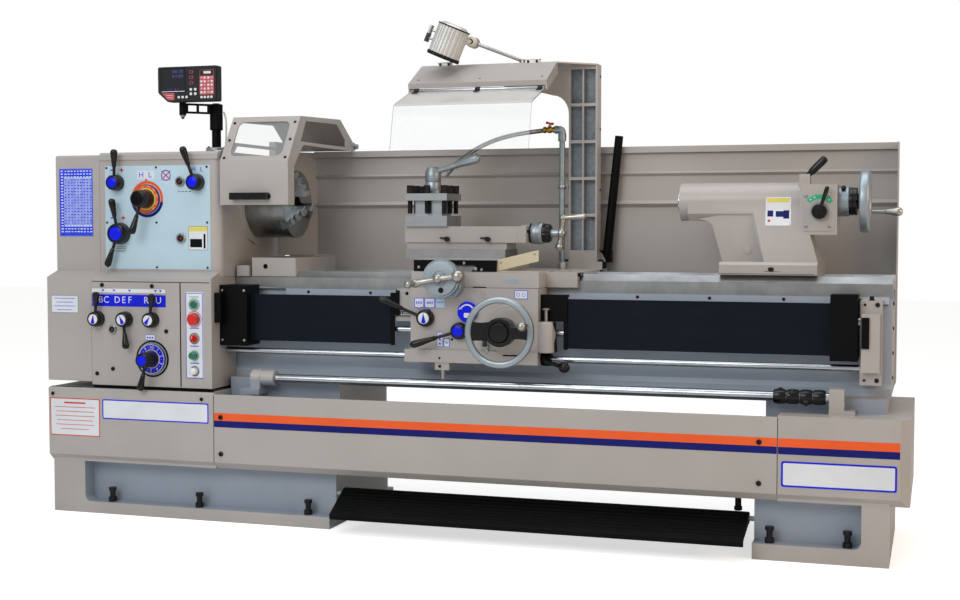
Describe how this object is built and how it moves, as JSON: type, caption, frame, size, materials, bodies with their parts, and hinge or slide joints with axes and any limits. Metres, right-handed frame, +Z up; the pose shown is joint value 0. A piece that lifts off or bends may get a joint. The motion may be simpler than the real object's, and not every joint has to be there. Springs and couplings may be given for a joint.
{
  "type": "engine lathe",
  "caption": "Floor-standing engine lathe with a geared headstock, guarded chuck, carriage with compound slide, tailstock, splash guard and cabinet stands.",
  "frame": {"origin": "centre of the lathe's outline on the floor", "axes": "+X along the bed from the headstock to the tailstock, -Y towards the operator, +Z up"},
  "size_m": [3.05, 0.814, 1.7807],
  "materials": {
    "paint": "satin",
    "cast_paint": "satin",
    "steel": "ground",
    "dark_steel": "blackened",
    "black_plastic": "matte",
    "black_paint": "satin",
    "blue_plastic": "gloss",
    "red_plastic": "gloss",
    "green_plastic": "gloss",
    "cover_cloth": "matte",
    "clear_plastic": "clear",
    "lamp_paint": "satin",
    "treadle_paint": "satin"
  },
  "bodies": {
    "machine": {"headstock_stand": "cast_paint", "tailstock_stand": "cast_paint", "chip_tray": "paint", "bed": "cast_paint", "headstock": "cast_paint", "feed_gearbox": "cast_paint", "splash_guard": "paint", "rod_bracket": "cast_paint", "left_screw_cover": "cover_cloth", "right_screw_cover": "cover_cloth", "levelling_screws": "dark_steel", "motor_drive": "dark_steel"},
    "spindle": {"spindle": "steel", "chuck": "steel"},
    "jaw_1": {"chuck_jaw_1": "dark_steel"},
    "jaw_2": {"chuck_jaw_2": "dark_steel"},
    "jaw_3": {"chuck_jaw_3": "dark_steel"},
    "chuck_guard": {"chuck_guard": "paint"},
    "gear_cover": {"gear_cover": "paint"},
    "direction_lever": {"direction_lever": "black_plastic"},
    "range_lever": {"range_lever": "black_plastic"},
    "high_low_lever": {"high_low_lever": "black_plastic"},
    "speed_dial": {"speed_dial": "black_plastic"},
    "feed_knob_left": {"feed_knob_left": "black_plastic"},
    "feed_knob_middle": {"feed_knob_middle": "black_plastic"},
    "feed_knob_right": {"feed_knob_right": "black_plastic"},
    "feed_dial": {"feed_dial": "black_plastic"},
    "start_button": {"start_button": "green_plastic"},
    "stop_button": {"stop_button": "red_plastic"},
    "selector_switch": {"selector_switch": "red_plastic"},
    "carriage": {"saddle": "cast_paint", "apron": "cast_paint", "shield_frame": "paint", "coolant_pipe": "steel"},
    "carriage_handwheel": {"carriage_handwheel": "steel"},
    "half_nut_lever": {"half_nut_lever": "black_plastic"},
    "feed_lever": {"feed_lever": "black_plastic"},
    "feed_select_knob": {"feed_select_knob": "blue_plastic"},
    "oil_pump_plunger": {"oil_pump_plunger": "steel"},
    "shield_window": {"shield_window": "clear_plastic"},
    "lamp_head": {"lamp_head": "lamp_paint"},
    "cross_slide": {"cross_slide": "cast_paint"},
    "cross_feed_crank": {"cross_feed_crank": "steel"},
    "compound_base": {"compound_base": "cast_paint"},
    "compound_slide": {"compound_slide": "cast_paint"},
    "compound_crank": {"compound_crank": "steel"},
    "tool_post": {"tool_post": "dark_steel"},
    "tool_post_lever": {"tool_post_lever": "steel"},
    "tailstock": {"tailstock": "cast_paint"},
    "quill": {"quill": "steel"},
    "tailstock_wheel": {"tailstock_wheel": "steel"},
    "quill_lock_lever": {"quill_lock_lever": "black_plastic"},
    "tailstock_clamp_lever": {"tailstock_clamp_lever": "black_plastic"},
    "lead_screw": {"lead_screw": "steel"},
    "feed_rod": {"feed_rod": "steel"},
    "control_rod": {"control_rod": "steel"},
    "control_lever": {"control_lever": "black_paint"},
    "stop_bar": {"stop_bar": "steel"},
    "brake_treadle": {"brake_treadle": "treadle_paint"},
    "readout": {"readout": "black_plastic"}
  },
  "joints": [
    {"name": "spindle_turn", "type": "hinge", "parent": "machine", "child": "spindle", "pos_m": [-0.85, 0.091, 1.13], "axis": [1, 0, 0], "continuous": true},
    {"name": "jaw_1_slide", "type": "slide", "parent": "spindle", "child": "jaw_1", "axis": [0, -0.1736, 0.9848], "range_m": [-0.018, 0.03]},
    {"name": "jaw_2_slide", "type": "slide", "parent": "spindle", "child": "jaw_2", "axis": [0, -0.766, -0.6428], "range_m": [-0.018, 0.03]},
    {"name": "jaw_3_slide", "type": "slide", "parent": "spindle", "child": "jaw_3", "axis": [0, 0.9397, -0.342], "range_m": [-0.018, 0.03]},
    {"name": "chuck_guard_hinge", "type": "hinge", "parent": "machine", "child": "chuck_guard", "pos_m": [-0.712, 0.391, 1.356], "axis": [-1, 0, 0], "range_deg": [0, 95]},
    {"name": "gear_cover_hinge", "type": "hinge", "parent": "machine", "child": "gear_cover", "pos_m": [-1.345, 0.343, 1.06], "axis": [0, 0, -1], "range_deg": [0, 100]},
    {"name": "direction_lever_turn", "type": "hinge", "parent": "machine", "child": "direction_lever", "pos_m": [-1.265, -0.209, 1.206], "axis": [0, 1, 0], "range_deg": [-25, 25]},
    {"name": "range_lever_turn", "type": "hinge", "parent": "machine", "child": "range_lever", "pos_m": [-1.252, -0.209, 1.021], "axis": [0, 1, 0], "range_deg": [-20, 20]},
    {"name": "high_low_lever_turn", "type": "hinge", "parent": "machine", "child": "high_low_lever", "pos_m": [-0.938, -0.209, 1.205], "axis": [0, 1, 0], "range_deg": [-25, 25]},
    {"name": "speed_dial_turn", "type": "hinge", "parent": "machine", "child": "speed_dial", "pos_m": [-1.142, -0.209, 1.146], "axis": [0, 1, 0], "range_deg": [-60, 20]},
    {"name": "feed_knob_left_turn", "type": "hinge", "parent": "machine", "child": "feed_knob_left", "pos_m": [-1.312, -0.274, 0.712], "axis": [0, 1, 0], "range_deg": [-30, 30]},
    {"name": "feed_knob_middle_turn", "type": "hinge", "parent": "machine", "child": "feed_knob_middle", "pos_m": [-1.196, -0.274, 0.712], "axis": [0, 1, 0], "range_deg": [-30, 30]},
    {"name": "feed_knob_right_turn", "type": "hinge", "parent": "machine", "child": "feed_knob_right", "pos_m": [-1.088, -0.274, 0.712], "axis": [0, 1, 0], "range_deg": [-30, 30]},
    {"name": "feed_dial_turn", "type": "hinge", "parent": "machine", "child": "feed_dial", "pos_m": [-1.089, -0.274, 0.572], "axis": [0, 1, 0], "range_deg": [-40, 40]},
    {"name": "start_button_press", "type": "slide", "parent": "machine", "child": "start_button", "axis": [0, 1, 0], "range_m": [0, 0.0035], "stiffness_N_per_m": 600},
    {"name": "stop_button_press", "type": "slide", "parent": "machine", "child": "stop_button", "axis": [0, 1, 0], "range_m": [0, 0.007], "stiffness_N_per_m": 800},
    {"name": "selector_turn", "type": "hinge", "parent": "machine", "child": "selector_switch", "pos_m": [-0.918, -0.274, 0.649], "axis": [0, 1, 0], "range_deg": [-45, 45]},
    {"name": "carriage_travel", "type": "slide", "parent": "machine", "child": "carriage", "axis": [1, 0, 0], "range_m": [-0.34, 0.3], "deforming": ["left_screw_cover", "right_screw_cover"]},
    {"name": "carriage_handwheel_turn", "type": "hinge", "parent": "carriage", "child": "carriage_handwheel", "pos_m": [0.232, -0.309, 0.701], "axis": [0, 1, 0], "continuous": true},
    {"name": "half_nut_lever_turn", "type": "hinge", "parent": "carriage", "child": "half_nut_lever", "pos_m": [-0.066, -0.214, 0.736], "axis": [0, 1, 0], "range_deg": [-20, 20]},
    {"name": "feed_lever_turn", "type": "hinge", "parent": "carriage", "child": "feed_lever", "pos_m": [0.056, -0.214, 0.694], "axis": [0, 1, 0], "range_deg": [-15, 20]},
    {"name": "feed_select_turn", "type": "hinge", "parent": "carriage", "child": "feed_select_knob", "pos_m": [0.085, -0.214, 0.759], "axis": [0, 1, 0], "range_deg": [-45, 45]},
    {"name": "oil_pump_pull", "type": "slide", "parent": "carriage", "child": "oil_pump_plunger", "axis": [0, 0, 1], "range_m": [0, 0.015], "stiffness_N_per_m": 300},
    {"name": "shield_window_lift", "type": "hinge", "parent": "carriage", "child": "shield_window", "pos_m": [0.05, 0.031, 1.528], "axis": [-1, 0, 0], "range_deg": [0, 60]},
    {"name": "lamp_tilt", "type": "hinge", "parent": "carriage", "child": "lamp_head", "pos_m": [-0.016, 0.151, 1.709], "axis": [0, 1, 0], "range_deg": [0, 30]},
    {"name": "cross_slide_travel", "type": "slide", "parent": "carriage", "child": "cross_slide", "axis": [0, 1, 0], "range_m": [-0.08, 0.14]},
    {"name": "cross_feed_crank_turn", "type": "hinge", "parent": "carriage", "child": "cross_feed_crank", "pos_m": [0.01, -0.259, 0.873], "axis": [0, 1, 0], "continuous": true},
    {"name": "compound_swivel", "type": "hinge", "parent": "cross_slide", "child": "compound_base", "pos_m": [-0.025, 0.051, 0.94], "axis": [0, 0, -1], "range_deg": [-15, 45]},
    {"name": "compound_travel", "type": "slide", "parent": "compound_base", "child": "compound_slide", "axis": [1, 0, 0], "range_m": [-0.04, 0.06]},
    {"name": "compound_crank_turn", "type": "hinge", "parent": "compound_slide", "child": "compound_crank", "pos_m": [0.25, 0.051, 1.0233], "axis": [-1, 0, 0], "continuous": true},
    {"name": "tool_post_index", "type": "hinge", "parent": "compound_slide", "child": "tool_post", "pos_m": [-0.132, 0.051, 1.1], "axis": [0, 0, 1], "range_deg": [-45, 45]},
    {"name": "tool_post_lever_turn", "type": "hinge", "parent": "compound_slide", "child": "tool_post_lever", "pos_m": [-0.132, 0.051, 1.18], "axis": [0, 0, -1], "range_deg": [0, 60]},
    {"name": "tailstock_travel", "type": "slide", "parent": "machine", "child": "tailstock", "axis": [1, 0, 0], "range_m": [-0.29, 0.2]},
    {"name": "quill_travel", "type": "slide", "parent": "tailstock", "child": "quill", "axis": [-1, 0, 0], "range_m": [0, 0.12]},
    {"name": "tailstock_wheel_turn", "type": "hinge", "parent": "tailstock", "child": "tailstock_wheel", "pos_m": [1.35, 0.091, 1.13], "axis": [-1, 0, 0], "continuous": true},
    {"name": "quill_lock_turn", "type": "hinge", "parent": "tailstock", "child": "quill_lock_lever", "pos_m": [1.223, 0.001, 1.096], "axis": [0, 1, 0], "range_deg": [-10, 40]},
    {"name": "tailstock_clamp_turn", "type": "hinge", "parent": "tailstock", "child": "tailstock_clamp_lever", "pos_m": [1.17, 0.076, 1.208], "axis": [0, 1, 0], "range_deg": [-30, 10]},
    {"name": "lead_screw_turn", "type": "hinge", "parent": "machine", "child": "lead_screw", "pos_m": [0.15, -0.144, 0.745], "axis": [1, 0, 0], "continuous": true},
    {"name": "feed_rod_turn", "type": "hinge", "parent": "machine", "child": "feed_rod", "pos_m": [0.15, -0.144, 0.69], "axis": [1, 0, 0], "continuous": true},
    {"name": "control_rod_turn", "type": "hinge", "parent": "machine", "child": "control_rod", "pos_m": [0.15, -0.159, 0.602], "axis": [1, 0, 0], "range_deg": [-20, 20]},
    {"name": "control_lever_turn", "type": "hinge", "parent": "carriage", "child": "control_lever", "pos_m": [0.348, -0.159, 0.602], "axis": [1, 0, 0], "range_deg": [-20, 20]},
    {"name": "stop_bar_index", "type": "hinge", "parent": "machine", "child": "stop_bar", "pos_m": [0.15, -0.199, 0.51], "axis": [1, 0, 0], "range_deg": [0, 270]},
    {"name": "brake_treadle_press", "type": "hinge", "parent": "machine", "child": "brake_treadle", "pos_m": [0.15, -0.209, 0.115], "axis": [1, 0, 0], "range_deg": [0, 6], "stiffness_Nm_per_rad": 250, "springref_deg": -8.59},
    {"name": "readout_turn", "type": "hinge", "parent": "machine", "child": "readout", "pos_m": [-0.985, 0.031, 1.44], "axis": [0, 0, 1], "range_deg": [-30, 30]}
  ],
  "couplings": [
    {"joint": "jaw_2_slide", "follows": "jaw_1_slide", "ratio": 1},
    {"joint": "jaw_3_slide", "follows": "jaw_1_slide", "ratio": 1},
    {"joint": "carriage_handwheel_turn", "follows": "carriage_travel", "rad_per_m": 251.33},
    {"joint": "cross_feed_crank_turn", "follows": "cross_slide_travel", "rad_per_m": 1256.6},
    {"joint": "compound_crank_turn", "follows": "compound_travel", "rad_per_m": -1256.6},
    {"joint": "tailstock_wheel_turn", "follows": "quill_travel", "rad_per_m": 1256.6},
    {"joint": "control_lever_turn", "follows": "control_rod_turn", "ratio": 1}
  ]
}
